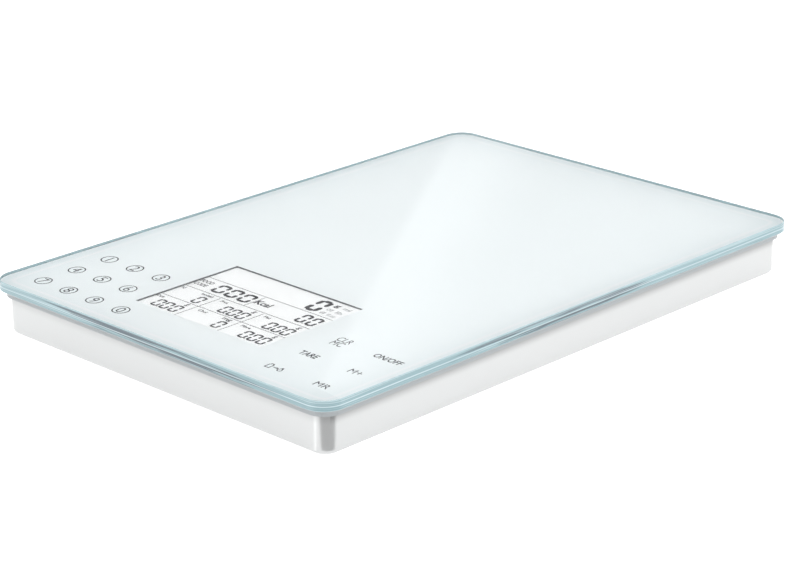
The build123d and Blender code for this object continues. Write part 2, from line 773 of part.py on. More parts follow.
# ---------------------------------------------------------------- batteries and contacts
for i, x in enumerate(battery_places):
    # the cells lie head to tail; towards is the end that the button points to
    towards = 1 if i % 2 == 0 else -1
    tip_y = bay_rear - contact_thickness if towards > 0 else bay_front + contact_thickness
    shell_start = tip_y - towards * button_height
    with BuildPart() as battery:
        with BuildSketch(Plane.XZ.offset(-shell_start)):
            with Locations((x, battery_axis)):
                Circle(battery_radius)
        extrude(amount=towards * (battery_length - button_height))
        fillet(battery.edges().filter_by(GeomType.CIRCLE), 0.5)
        with BuildSketch(Plane.XZ.offset(-shell_start)):
            with Locations((x, battery_axis)):
                Circle(button_radius)
        extrude(amount=-towards * button_height)
    save(battery, f"battery_{i + 1}")

contact_bottom = battery_axis - contact_half

def contact_profile(x0, x1, rear):
    """A flat contact on one end wall of the bay, behind the cells from x0 to x1, in the open sketch."""
    y0, y1 = (bay_rear - contact_thickness, bay_rear) if rear else (bay_front, bay_front + contact_thickness)
    box_profile(x0 - contact_half, x1 + contact_half, y0, y1)


with BuildPart() as contact_bridges:
    with BuildSketch(Plane.XY.offset(contact_bottom)):
        contact_profile(battery_places[0], battery_places[1], rear=False)
        contact_profile(battery_places[1], battery_places[2], rear=True)
    extrude(amount=2 * contact_half)
save(contact_bridges, "contact_bridges")

with BuildPart() as contact_tabs:
    with BuildSketch(Plane.XY.offset(contact_bottom)):
        contact_profile(battery_places[0], battery_places[0], rear=True)
        contact_profile(battery_places[-1], battery_places[-1], rear=False)
    extrude(amount=2 * contact_half)
    # legs through the end walls, for the leads
    with BuildSketch(Plane.XY.offset(lead_height - leg_half)):
        x = battery_places[0]
        box_profile(x - leg_half, x + leg_half, bay_rear, rear_wall + leg_reach)
        x = battery_places[-1]
        box_profile(x - leg_half, x + leg_half, front_wall - leg_reach, bay_front)
    extrude(amount=2 * leg_half)
save(contact_tabs, "contact_tabs")

with BuildPart() as contact_springs:
    coil_height = spring_length - 2 * spring_wire
    for i, x in enumerate(battery_places):
        # each spring stands on the plate at the cell's flat end
        at_front = i % 2 == 0
        base_y = bay_front + contact_thickness if at_front else bay_rear - contact_thickness
        outward = 1 if at_front else -1
        start = (x, base_y + outward * spring_wire, battery_axis)
        pitch = coil_height / spring_turns
        with BuildLine() as coil:
            Helix(pitch, coil_height, spring_radius, center=start, direction=(0, outward, 0))
        with BuildSketch(Plane(origin=coil.line @ 0, z_dir=coil.line % 0)):
            Circle(spring_wire)
        sweep(path=coil.line, is_frenet=True)
save(contact_springs, "contact_springs")

# ---------------------------------------------------------------- battery door
with BuildPart() as battery_door:
    with BuildSketch(Plane.XY.offset(foot_lift)):
        box_profile(-door_width / 2, door_width / 2, door_front_edge, hinge_y)
        notch_half = latch_width / 2 + latch_gap
        notch_rear = door_front_edge + latch_wall + latch_slot
        with Locations((0, (door_front_edge + notch_rear) / 2)):
            Rectangle(2 * notch_half, notch_rear - door_front_edge, mode=Mode.SUBTRACT)
    extrude(amount=door_thickness)
    # hinge barrel along the rear edge, with a trunnion at each end
    with BuildSketch(Plane.YZ.offset(-door_width / 2)):
        with Locations((hinge_y, hinge_z)):
            Circle(door_thickness)
    extrude(amount=door_width)
    with BuildSketch(Plane.YZ):
        with Locations((hinge_y, hinge_z)):
            Circle(trunnion_radius)
    extrude(amount=door_width / 2 + door_gap + trunnion_length, both=True)
    # folded spring latch: up from the plate, over, and down to the thumb edge
    latch_top = foot_lift + latch_height
    leg_outer = door_front_edge
    leg_inner = leg_outer + 2 * latch_wall + latch_slot
    bend_radius = (leg_inner - leg_outer) / 2
    hook_z = block_top + fit_gap
    with BuildSketch(Plane.YZ):
        box_profile(leg_outer, leg_outer + latch_wall, foot_lift, latch_top)
        box_profile(leg_inner - latch_wall, leg_inner, foot_lift + door_thickness, latch_top)
        with BuildSketch(mode=Mode.PRIVATE) as bend:
            with Locations((leg_outer + bend_radius, latch_top)):
                Circle(bend_radius)
                Circle(bend_radius - latch_wall, mode=Mode.SUBTRACT)
            with Locations((leg_outer + bend_radius, latch_top - bend_radius)):
                Rectangle(2 * bend_radius, 2 * bend_radius, mode=Mode.SUBTRACT)
        add(bend.sketch)
        with BuildLine():
            Polyline(
                (leg_outer, hook_z),
                (leg_outer - door_gap - latch_hook, hook_z),
                (leg_outer, hook_z + hook_height),
                close=True,
            )
        make_face()
    extrude(amount=latch_width / 2, both=True)
save(battery_door, "battery_door")

# ---------------------------------------------------------------- leads
def lead_path_radii(points):
    """One bend radius for each corner, as large as the runs beside it leave room for."""
    radii = []
    for before, corner, after in zip(points, points[1:], points[2:]):
        first = Vector(*corner) - Vector(*before)
        second = Vector(*after) - Vector(*corner)
        half_turn = radians(first.get_angle(second) / 2)
        radii.append(0.45 * min(first.length, second.length) / tan(half_turn))
    return radii


def lead(points, name):
    """A round lead at one height, from a cell or contact to its connector."""
    route = [(x, y, lead_height) for x, y in points]
    with BuildPart() as piece:
        with BuildLine() as path:
            FilletPolyline(*route, radius=lead_path_radii(route))
        with BuildSketch(Plane(origin=path.line @ 0, z_dir=path.line % 0)):
            Circle(lead_radius)
        sweep(path=path.line)
    save(piece, name)


cell_edge = foot_x - cell_size / 2
lane_room = 2.0  # from the front leads' lane to the load cell caps
lane_outer = min(connector_x + 17.0, foot_x - cap_outer / 2 - lane_room)
for name, (sx, sy) in corners.items():
    # the rear leads run inside the front ones, and enter the connector beside them
    rear = sy > 0
    start_y = sy * (foot_y - lead_offset)
    lane_x = lane_outer - (3.0 if rear else 0.0)
    turn_y = connector_rear + (20.0 if rear else 14.0)
    end_x = connector_x + (-contact_pitch if rear else contact_pitch)
    points = [(cell_edge, start_y), (lane_x, start_y), (lane_x, turn_y), (end_x, turn_y)]
    points.append((end_x, connector_rear))
    lead([(sx * x, y) for x, y in points], f"cell_lead_{name}")

leg_end_rear = rear_wall + leg_reach
leg_end_front = front_wall - leg_reach
positive_x = battery_places[0]
around_x = -block_width / 2 - 2.0
lead(
    [
        (positive_x, leg_end_rear),
        (positive_x, leg_end_rear + 7.0),
        (around_x, leg_end_rear + 7.0),
        (around_x, connector_rear + 28.0),
        (-contact_pitch, connector_rear + 28.0),
        (-contact_pitch, connector_rear),
    ],
    "battery_lead_positive",
)
negative_x = battery_places[-1]
lead(
    [
        (negative_x, leg_end_front),
        (negative_x, connector_rear + 36.0),
        (contact_pitch, connector_rear + 36.0),
        (contact_pitch, connector_rear),
    ],
    "battery_lead_negative",
)

# ---------------------------------------------------------------- underside label, left blank
with BuildPart() as rating_label:
    with BuildSketch(Plane.XY.offset(foot_lift - label_thickness)):
        with Locations((0, (connector_rear + block_front) / 2 - 10.0)):
            RectangleRounded(label_width, label_depth, label_corner)
    extrude(amount=label_thickness)
save(rating_label, "rating_label")
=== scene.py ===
"""Looks of a slim kitchen scale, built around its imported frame.

The glass platform, the printed keys, the display, the tub and the fittings.
"""

import json
import math

import bmesh
import bpy
from mathutils import Matrix, Vector

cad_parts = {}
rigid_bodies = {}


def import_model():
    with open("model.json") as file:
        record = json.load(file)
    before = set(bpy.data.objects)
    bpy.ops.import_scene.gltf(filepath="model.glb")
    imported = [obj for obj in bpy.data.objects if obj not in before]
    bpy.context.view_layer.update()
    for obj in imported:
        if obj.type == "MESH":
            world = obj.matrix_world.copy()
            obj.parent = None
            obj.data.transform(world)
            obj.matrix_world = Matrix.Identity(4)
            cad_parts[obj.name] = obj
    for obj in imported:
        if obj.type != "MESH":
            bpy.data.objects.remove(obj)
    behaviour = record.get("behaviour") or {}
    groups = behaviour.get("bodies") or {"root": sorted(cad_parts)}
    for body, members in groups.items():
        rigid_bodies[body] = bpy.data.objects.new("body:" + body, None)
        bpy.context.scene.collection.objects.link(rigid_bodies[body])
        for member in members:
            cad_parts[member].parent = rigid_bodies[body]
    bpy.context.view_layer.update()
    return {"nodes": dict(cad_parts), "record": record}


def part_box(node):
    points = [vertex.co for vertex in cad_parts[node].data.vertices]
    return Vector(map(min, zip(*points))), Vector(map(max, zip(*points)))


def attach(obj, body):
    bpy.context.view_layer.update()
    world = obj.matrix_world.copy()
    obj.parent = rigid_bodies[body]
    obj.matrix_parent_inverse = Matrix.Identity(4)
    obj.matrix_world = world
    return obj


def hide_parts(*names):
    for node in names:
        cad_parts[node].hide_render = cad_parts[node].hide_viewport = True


bl_info = {
    "name": "Kitchen Scale",
    "version": (1, 0, 0),
    "blender": (4, 5, 0),
    "location": "View3D > Sidebar > Kitchen Scale",
    "description": "Builds the visible pieces and finishes of a slim kitchen scale",
    "category": "Object",
}

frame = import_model()
MM = 0.001
GLASS_LOW, GLASS_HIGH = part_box("glass_platform")
PRINT_LOW, PRINT_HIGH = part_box("back_print")
FILM_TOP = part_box("lcd_front_polarizer")[1].z
INK_Z = PRINT_HIGH.z + 0.04 * MM
INK_THICK = 0.01 * MM
FIRST_KEY_X, FIRST_KEY_Y = -75 * MM, -83.3 * MM


# ---------------------------------------------------------------- sizes and colours


def length(name, text, default):
    return bpy.props.FloatProperty(
        name=name, description=text, default=default, min=0.0, precision=5, unit="LENGTH"
    )


def colour(name, text, default):
    return bpy.props.FloatVectorProperty(
        name=name, description=text, default=default, size=3, min=0.0, max=1.0, subtype="COLOR"
    )


class ScaleSizes(bpy.types.PropertyGroup):
    """Sizes of the pieces that are drawn here."""

    glass_corner: length("Glass corner", "Corner radius of the platform", 9 * MM)
    glass_arris: length("Glass arris", "Width of the ground edge", 0.35 * MM)
    window_width: length("Window width", "Clear window in the print, across", 67.8 * MM)
    window_depth: length("Window depth", "Clear window in the print, front to back", 50.4 * MM)
    window_y: length("Window distance", "Middle of the window, forward of the middle of the glass", 80 * MM)
    key_ring: length("Key ring", "Outer diameter of the ring round a digit", 7.0 * MM)
    key_line: length("Key line", "Line width of the ring", 0.5 * MM)
    digit_height: length("Digit height", "Height of a printed digit", 4.5 * MM)
    key_pitch_x: length("Key pitch across", "Distance between digit keys, across", 15 * MM)
    key_pitch_y: length("Key pitch along", "Distance between rows of digit keys", 16 * MM)
    label_height: length("Label height", "Capital height of the function labels", 3.3 * MM)
    grid_line: length("Grid line", "Width of the lines on the display", 0.38 * MM)


class ScaleColours(bpy.types.PropertyGroup):
    """Colours of the pieces that are in sight."""

    print_white: colour("Print", "White printed layer under the glass", (0.92, 0.965, 0.975))
    glass_edge: colour("Glass edge", "Ground edge of the glass", (0.30, 0.45, 0.49))
    # Painted shade: the darker streaks stand in for the light inside the glass sheet.
    glass_edge_painted_shade: colour("Edge streak", "Darker streaks along the ground edge", (0.12, 0.16, 0.19))
    ink: colour("Ink", "Printed keys and labels", (0.018, 0.02, 0.025))
    display_face: colour("Display face", "Lit face of the display", (0.96, 0.975, 0.98))
    display_ink: colour("Display segments", "Switched-on segments", (0.018, 0.018, 0.022))
    display_faint: colour("Faint marks", "Units that are switched off", (0.42, 0.43, 0.44))
    tub: colour("Tub", "Lacquer of the tub", (0.69, 0.70, 0.70))
    # Partly painted shade: the carrier's grey is set dark to stand for the shade beneath the glass's
    # overhang.
    carrier: colour("Carrier", "Plate that the glass is bonded to", (0.44, 0.465, 0.48))


def sizes():
    return bpy.context.scene.scale_sizes


def colours():
    return bpy.context.scene.scale_colours


# ---------------------------------------------------------------- shader maths


class Signal:
    """A shader socket that takes part in Python expressions."""

    def __init__(self, finish, socket):
        self.finish, self.socket = finish, socket

    def maths(self, operation, *values, **more):
        links = dict(enumerate(values))
        return self.finish.node("ShaderNodeMath", {"operation": operation, **more}, links)

    def __add__(self, other):
        return self.maths("ADD", self, other)

    def __sub__(self, other):
        return self.maths("SUBTRACT", self, other)

    def __rsub__(self, other):
        return self.maths("SUBTRACT", other, self)

    def __mul__(self, other):
        return self.maths("MULTIPLY", self, other)

    def __truediv__(self, other):
        return self.maths("DIVIDE", self, other)

    def __abs__(self):
        return self.maths("ABSOLUTE", self)

    def __gt__(self, other):
        return self.maths("GREATER_THAN", self, other)

    def __lt__(self, other):
        return self.maths("LESS_THAN", self, other)

    __radd__, __rmul__ = __add__, __mul__

    def wave(self):
        return self.maths("SINE", self)

    def clamped(self):
        return self.maths("ADD", self, 0.0, use_clamp=True)

    def smooth(self, low, high):
        """0 below low and 1 above high, with a soft step between."""
        settings = {"interpolation_type": "SMOOTHSTEP"}
        return self.finish.node("ShaderNodeMapRange", settings, {0: self, 1: low, 2: high})


class Finish:
    """A material under construction; its patterns read Object coordinates."""

    def __init__(self, name):
        self.material = bpy.data.materials.new(name)
        self.material.use_nodes = True
        self.tree = self.material.node_tree
        self.tree.nodes.clear()
        self.output = self.tree.nodes.new("ShaderNodeOutputMaterial")

    def node(self, kind, settings=None, links=None, out=0):
        """Adds a node, sets it up, fills its sockets and gives the socket it is read from."""
        node = self.tree.nodes.new(kind)
        for key, value in (settings or {}).items():
            setattr(node, key, value)
        for key, value in (links or {}).items():
            self.fill(node.inputs[key], value)
        return Signal(self, node.outputs[out])

    def fill(self, socket, value):
        if isinstance(value, Signal):
            self.tree.links.new(value.socket, socket)
        elif hasattr(socket.default_value, "__len__") and len(socket.default_value) == 4:
            socket.default_value = (*tuple(value)[:3], 1.0)
        else:
            socket.default_value = value

    def place(self, stretch=(1, 1, 1)):
        """Object coordinates, stretched."""
        where = self.node("ShaderNodeTexCoord", out="Object")
        return self.node("ShaderNodeMapping", None, {"Vector": where, "Scale": stretch})

    def axis(self, letter):
        """One Object coordinate, in millimetres."""
        return self.node("ShaderNodeSeparateXYZ", None, {0: self.place((1 / MM,) * 3)}, letter)

    def noise(self, scale, detail=3.0, stretch=(1, 1, 1), roughness=0.55):
        links = {"Vector": self.place(stretch), "Scale": scale, "Detail": detail, "Roughness": roughness}
        return self.node("ShaderNodeTexNoise", None, links)

    def cells(self, scale):
        return self.node("ShaderNodeTexVoronoi", None, {"Vector": self.place(), "Scale": scale})

    def blend(self, factor, first, second):
        """One colour turning to another by a factor."""
        return self.node(
            "ShaderNodeMix", {"data_type": "RGBA"}, {0: factor, 6: first, 7: second}, out=2
        )

    def bump(self, height, distance, strength=0.5):
        links = {"Height": height, "Distance": distance, "Strength": strength}
        return self.node("ShaderNodeBump", None, links)

    def surface(self, **sockets):
        """The main shader: socket names are written with underscores."""
        links = {key.replace("_", " ").title().replace("Ior", "IOR"): v for key, v in sockets.items()}
        return self.node("ShaderNodeBsdfPrincipled", None, links)

    def done(self, shader):
        self.tree.links.new(shader.socket, self.output.inputs["Surface"])
        return self.material


def plastic(name, shade, roughness=0.4, grain=0.03, tone=0.06):
    """Moulded plastic: a fine grain, and a slow drift of tone and gloss."""
    f = Finish(name)
    drift = f.noise(35, 4)
    fine = f.noise(1800, 3)
    darker = tuple(c * (1 - tone) for c in shade)
    return f.done(
        f.surface(
            base_color=f.blend(drift, darker, shade),
            roughness=roughness + (fine - 0.5) * 0.16 + (drift - 0.5) * 0.08,
            normal=f.bump(fine, grain * MM),
        )
    )


def metal(name, shade, roughness=0.3, stretch=(1, 1, 1), scale=500, tone=0.2):
    """Rolled, brushed or plated metal with fine marks along one direction."""
    f = Finish(name)
    marks = f.noise(scale, 4, stretch)
    cloud = f.noise(60, 3)
    darker = tuple(c * (1 - tone) for c in shade)
    return f.done(
        f.surface(
            base_color=f.blend(cloud * 0.5 + marks * 0.5, darker, shade),
            metallic=1.0,
            roughness=roughness + (marks - 0.5) * 0.2,
            normal=f.bump(marks, 0.02 * MM),
        )
    )


def rubber(name, shade):
    f = Finish(name)
    speck = f.noise(1400, 4)
    cloud = f.noise(90, 3)
    return f.done(
        f.surface(
            base_color=f.blend(cloud, tuple(c * 0.8 for c in shade), shade),
            roughness=0.7 + (speck - 0.5) * 0.2,
            normal=f.bump(speck, 0.05 * MM, 0.8),
        )
    )


def insulation(name, shade):
    """Soft cable insulation, with faint drawing marks."""
    f = Finish(name)
    marks = f.noise(700, 3)
    return f.done(
        f.surface(
            base_color=f.blend(marks, tuple(c * 0.82 for c in shade), shade),
            roughness=0.42 + (marks - 0.5) * 0.2,
            normal=f.bump(marks, 0.02 * MM),
        )
    )


def lets_lamps_through(f, shader):
    """Glass that a lamp shines through: shadow rays pass straight on."""
    shadow = f.node("ShaderNodeLightPath", out="Is Shadow Ray")
    clear = f.node("ShaderNodeBsdfTransparent")
    return f.node("ShaderNodeMixShader", None, {0: shadow, 1: shader, 2: clear})


def clear_glass():
    f = Finish("Clear glass")
    ripple = f.noise(18, 2)
    glass = f.surface(
        base_color=(1.0, 1.0, 1.0),
        roughness=0.0,
        transmission_weight=1.0,
        ior=1.5,
        normal=f.bump(ripple, 0.002 * MM, 0.15),
    )
    return f.done(lets_lamps_through(f, glass))


def edge_glass():
    """The ground edge: blue-green, with long pale and dark streaks painted in for the light inside the
    sheet, the dark ones stronger along the middle of the front and right edges, and a painted pale line near
    the top.
    """
    f = Finish("Ground glass edge")
    high = f.axis("Z")
    along_x, along_y = f.axis("X"), f.axis("Y")
    fine = f.noise(1.0, 2, (14, 14, 3400))
    patch = f.noise(1.0, 3, (16, 16, 700), 0.6)
    # Painted shade: dark streaks, stronger along the middle of the front and right edges.
    near = (1 - abs(along_x - 10).smooth(30, 62)) * (along_y < -120)
    right = (1 - abs(along_y + 15).smooth(40, 85)) * (along_x > 85)
    dark = (patch + (near + right) * 0.16 - 0.60).smooth(0.0, 0.10)
    middle = 1 - abs(high - 20.7).smooth(1.5, 2.3)
    # Painted light: pale streaks for the light inside the sheet.
    pale = fine.smooth(0.52, 0.68) * 0.55
    shade = f.blend(dark * middle, colours().glass_edge, colours().glass_edge_painted_shade)
    shade = f.blend(pale, shade, (0.62, 0.76, 0.80))
    # Painted highlight: a pale line near the top of the edge.
    line = (1 - abs(high - 20.9).smooth(0.08, 0.22)) * 0.75
    shade = f.blend(line, shade, (0.70, 0.83, 0.87))
    return f.done(
        f.surface(
            base_color=shade,
            roughness=0.12 + fine * 0.12,
            coat_weight=0.3,
            coat_roughness=0.05,
            normal=f.bump(fine, 0.02 * MM, 0.3),
        )
    )


def arris_glass():
    """The narrow bevel along the top of the edge, a little paler than the edge: a painted highlight."""
    f = Finish("Polished glass arris")
    grind = f.noise(900, 3)
    return f.done(
        f.surface(
            base_color=f.blend(grind, (0.40, 0.54, 0.58), (0.52, 0.66, 0.70)),
            roughness=0.25 + grind * 0.15,
            coat_weight=0.2,
            normal=f.bump(grind, 0.01 * MM),
        )
    )


# ---------------------------------------------------------------- modelling


def deselect():
    if bpy.context.mode != "OBJECT":
        bpy.ops.object.mode_set(mode="OBJECT")
    bpy.ops.object.select_all(action="DESELECT")


def pick(*objects):
    deselect()
    for o in objects:
        o.select_set(True)
    bpy.context.view_layer.objects.active = objects[0]


def active():
    return bpy.context.view_layer.objects.active


def named(name):
    """Renames the active object and its mesh."""
    o = active()
    o.name = o.data.name = name
    return o


def edit():
    bpy.ops.object.mode_set(mode="EDIT")


def leave():
    bpy.ops.object.mode_set(mode="OBJECT")


def select_where(test, kind="FACE"):
    """Selects what passes the test: faces, edges or vertices, one kind at a time."""
    bpy.ops.mesh.select_mode(type=kind)
    bpy.ops.mesh.select_all(action="DESELECT")
    mesh = bmesh.from_edit_mesh(active().data)
    group = {"FACE": mesh.faces, "EDGE": mesh.edges, "VERT": mesh.verts}[kind]
    for part in group:
        part.select_set(test(part))
    bmesh.update_edit_mesh(active().data)


def settle():
    """Puts the active object's place, turn and size into its mesh."""
    bpy.ops.object.transform_apply(location=True, rotation=True, scale=True)


def tidy_mesh(angle=35.0):
    """Merges doubles, turns faces outwards and smooths all but the sharp edges."""
    edit()
    bpy.ops.mesh.select_all(action="SELECT")
    bpy.ops.mesh.remove_doubles(threshold=1e-6)
    bpy.ops.mesh.normals_make_consistent(inside=False)
    leave()
    bpy.ops.object.shade_smooth_by_angle(angle=math.radians(angle))


def cover(material):
    o = active()
    o.data.materials.clear()
    o.data.materials.append(material)
    return o


def piece(body, slot, *nodes):
    """Ties the active object to a body and hides the nodes it stands for; the finish slot is not used."""
    o = active()
    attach(o, body)
    if nodes:
        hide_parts(*nodes)
    return o


def merged(*objects):
    pick(*objects)
    if len(objects) > 1:
        bpy.ops.object.join()
    return active()


def copy_moved(original, shift):
    """A copy with its own mesh, moved."""
    pick(original)
    bpy.ops.object.duplicate()
    o = active()
    o.location = shift
    settle()
    return o


def lettering(text, centre, size, z, weight=0.0):
    """Flat printed text, fitted to a width and height about its centre."""
    deselect()
    bpy.ops.object.text_add(location=(0, 0, 0))
    o = active()
    o.data.body = text
    o.data.size = 0.01
    o.data.align_x = "CENTER"
    o.data.space_line = 0.75
    o.data.offset = weight
    o.data.resolution_u = 3
    o.data.extrude = INK_THICK
    bpy.ops.object.convert(target="MESH")
    o = active()
    xs = [v.co.x for v in o.data.vertices]
    ys = [v.co.y for v in o.data.vertices]
    wide, high = max(xs) - min(xs), max(ys) - min(ys)
    stretch = size[1] / high
    across = size[0] / wide if size[0] else stretch
    o.scale = (across, stretch, 0.5)
    middle = ((max(xs) + min(xs)) / 2 * across, (max(ys) + min(ys)) / 2 * stretch)
    o.location = (centre[0] - middle[0], centre[1] - middle[1], z + INK_THICK / 2)
    settle()
    return o


def raise_ink():
    """Gives the flat print in edit mode its thickness, and leaves edit mode."""
    bpy.ops.mesh.select_all(action="SELECT")
    bpy.ops.mesh.extrude_region_move(TRANSFORM_OT_translate={"value": (0, 0, INK_THICK)})
    bpy.ops.mesh.select_all(action="SELECT")
    bpy.ops.mesh.normals_make_consistent(inside=False)
    leave()


def flat_bars(boxes, z, chamfer=0.0):
    """Flat bars, each given as centre x, centre y, width and height, raised to the thickness of ink."""
    deselect()
    for count, (x, y, w, h) in enumerate(boxes):
        if count:
            bpy.ops.mesh.select_all(action="DESELECT")
        bpy.ops.mesh.primitive_plane_add(size=1.0, location=(0, 0, 0))
        if not count:
            edit()
        bpy.ops.transform.resize(value=(w, h, 1.0), center_override=(0, 0, 0))
        bpy.ops.transform.translate(value=(x, y, z))
        if chamfer:
            bpy.ops.mesh.bevel(offset=chamfer * min(w, h), affect="VERTICES")
    raise_ink()
    return active()


def flat_ring(centre, outer, line, z, sides=56):
    """A flat printed ring."""
    deselect()
    bpy.ops.mesh.primitive_circle_add(
        vertices=sides, radius=outer, fill_type="NGON", location=(centre[0], centre[1], z)
    )
    edit()
    bpy.ops.mesh.select_mode(type="FACE")
    bpy.ops.mesh.select_all(action="SELECT")
    bpy.ops.mesh.inset(thickness=line)
    bpy.ops.mesh.delete(type="FACE")
    raise_ink()
    settle()
    return active()


def crisp_flats():
    """Marks the outline of the level faces sharp, so that a round edge doesn't shade them."""
    edit()
    select_where(lambda f: abs(f.normal.z) > 0.9999)
    bpy.ops.mesh.region_to_loop()
    bpy.ops.mesh.mark_sharp()
    leave()


def smooth_copy(node, name, material, body, slot, angle=35.0):
    """A merged and smoothed copy of a CAD node, which it stands for."""
    pick(frame["nodes"][node])
    bpy.ops.object.duplicate()
    bpy.ops.object.parent_clear(type="CLEAR_KEEP_TRANSFORM")
    o = named(name)
    for key in list(o.keys()):
        del o[key]
    tidy_mesh(angle)
    crisp_flats()
    cover(material)
    return piece(body, slot, node)


# ---------------------------------------------------------------- the platform


class SCALE_OT_platform(bpy.types.Operator):
    """Builds the glass platform with its ground edge."""

    bl_idname = "scale.platform"
    bl_label = "Glass platform"

    def execute(self, context):
        s = context.scene.scale_sizes
        span, middle = GLASS_HIGH - GLASS_LOW, (GLASS_HIGH + GLASS_LOW) / 2
        deselect()
        bpy.ops.mesh.primitive_cube_add(size=1.0, location=middle, scale=span)
        o = named("glass_plate")
        settle()
        edit()
        select_where(lambda e: abs(e.verts[0].co.z - e.verts[1].co.z) > 1 * MM, "EDGE")
        bpy.ops.mesh.bevel(offset=s.glass_corner, segments=14, affect="EDGES")
        flat = lambda e: abs(e.verts[0].co.z - e.verts[1].co.z) < 0.01 * MM
        select_where(flat, "EDGE")
        bpy.ops.mesh.bevel(offset=s.glass_arris, segments=1, affect="EDGES")
        leave()
        for material in (clear_glass(), edge_glass(), arris_glass()):
            o.data.materials.append(material)
        for face in o.data.polygons:
            rise = face.normal.z
            face.material_index = 0 if abs(rise) > 0.99 else (2 if rise > 0.1 else 1)
        bpy.ops.object.shade_smooth_by_angle(angle=math.radians(12))
        piece("case", "platform_glass", "glass_platform")
        return {"FINISHED"}


class SCALE_OT_print(bpy.types.Operator):
    """Builds the white printed layer, with the clear window for the display."""

    bl_idname = "scale.print"
    bl_label = "White print"

    def execute(self, context):
        s, shade = context.scene.scale_sizes, tuple(context.scene.scale_colours.print_white)
        span, middle = PRINT_HIGH - PRINT_LOW, (PRINT_HIGH + PRINT_LOW) / 2
        deselect()
        bpy.ops.mesh.primitive_plane_add(size=1.0, location=(0, 0, PRINT_LOW.z + 0.02 * MM))
        named("printed_layer")
        edit()
        bpy.ops.transform.resize(value=(span.x, span.y, 1.0), center_override=(0, 0, 0))
        select_where(lambda v: True, "VERT")
        bpy.ops.mesh.bevel(offset=s.glass_corner - 0.8 * MM, segments=14, affect="VERTICES")
        half_w, half_d = s.window_width / 2, s.window_depth / 2
        cuts = (
            ((-half_w, 0, 0), (1, 0, 0)),
            ((half_w, 0, 0), (1, 0, 0)),
            ((0, -s.window_y - half_d, 0), (0, 1, 0)),
            ((0, -s.window_y + half_d, 0), (0, 1, 0)),
        )
        for point, normal in cuts:
            bpy.ops.mesh.select_all(action="SELECT")
            bpy.ops.mesh.bisect(plane_co=point, plane_no=normal)
        inside = lambda f: (
            abs(f.calc_center_median().x) < half_w
            and abs(f.calc_center_median().y + s.window_y) < half_d
        )
        select_where(inside)
        bpy.ops.mesh.delete(type="FACE")
        bpy.ops.mesh.select_all(action="SELECT")
        bpy.ops.mesh.extrude_region_move(
            TRANSFORM_OT_translate={"value": (0, 0, span.z)}
        )
        leave()
        settle()
        tidy_mesh()
        f = Finish("White printed ink")
        cloud = f.noise(14, 2)
        fleck = f.noise(900, 3)
        rim = self.rim(f, span)
        base = f.blend(cloud, tuple(c * 0.985 for c in shade), shade)
        base = f.blend(rim, base, (0.97, 0.98, 0.99))
        cover(
            f.done(
                f.surface(
                    base_color=base,
                    roughness=0.5 + (fleck - 0.5) * 0.1,
                    normal=f.bump(fleck, 0.005 * MM),
                )
            )
        )
        piece("case", "white_print", "back_print")
        return {"FINISHED"}

    def rim(self, f, span):
        """A paler line a little inside the edge, all the way round."""
        x = abs(f.axis("X")) - (span.x / 2 / MM - 4.6)
        y = abs(f.axis("Y")) - (span.y / 2 / MM - 4.6)
        edge = f.node("ShaderNodeMath", {"operation": "SMOOTH_MAX"}, {0: x, 1: y, 2: 6.0})
        return (1 - abs(edge).smooth(0.2, 1.0)).clamped()


# ---------------------------------------------------------------- printed keys


def printed_ink(name="Printed grey ink"):
    f = Finish(name)
    coverage = f.noise(2600, 3)
    dark = tuple(colours().ink)
    return f.done(
        f.surface(
            base_color=f.blend(coverage.smooth(0.3, 0.8), dark, tuple(c * 2.2 for c in dark)),
            roughness=0.45 + (coverage - 0.5) * 0.2,
        )
    )


class SCALE_OT_digit_keys(bpy.types.Operator):
    """Prints the ten digit keys, each a digit in a ring."""

    bl_idname = "scale.digit_keys"
    bl_label = "Digit keys"

    def execute(self, context):
        s = context.scene.scale_sizes
        ink = printed_ink()
        ring = flat_ring((0, 0), s.key_ring / 2, s.key_line, INK_Z)
        for digit in "1234567890":
            row, column = (2, 3) if digit == "0" else divmod(int(digit) - 1, 3)
            x = FIRST_KEY_X + column * s.key_pitch_x
            y = FIRST_KEY_Y - row * s.key_pitch_y
            round_ring = copy_moved(ring, (x, y, 0))
            figure = lettering(digit, (x, y), (0, s.digit_height), INK_Z, 0.0)
            merged(round_ring, figure)
            named("key_" + digit)
            cover(ink)
            piece("case", "white_print")
        bpy.data.objects.remove(ring)
        return {"FINISHED"}


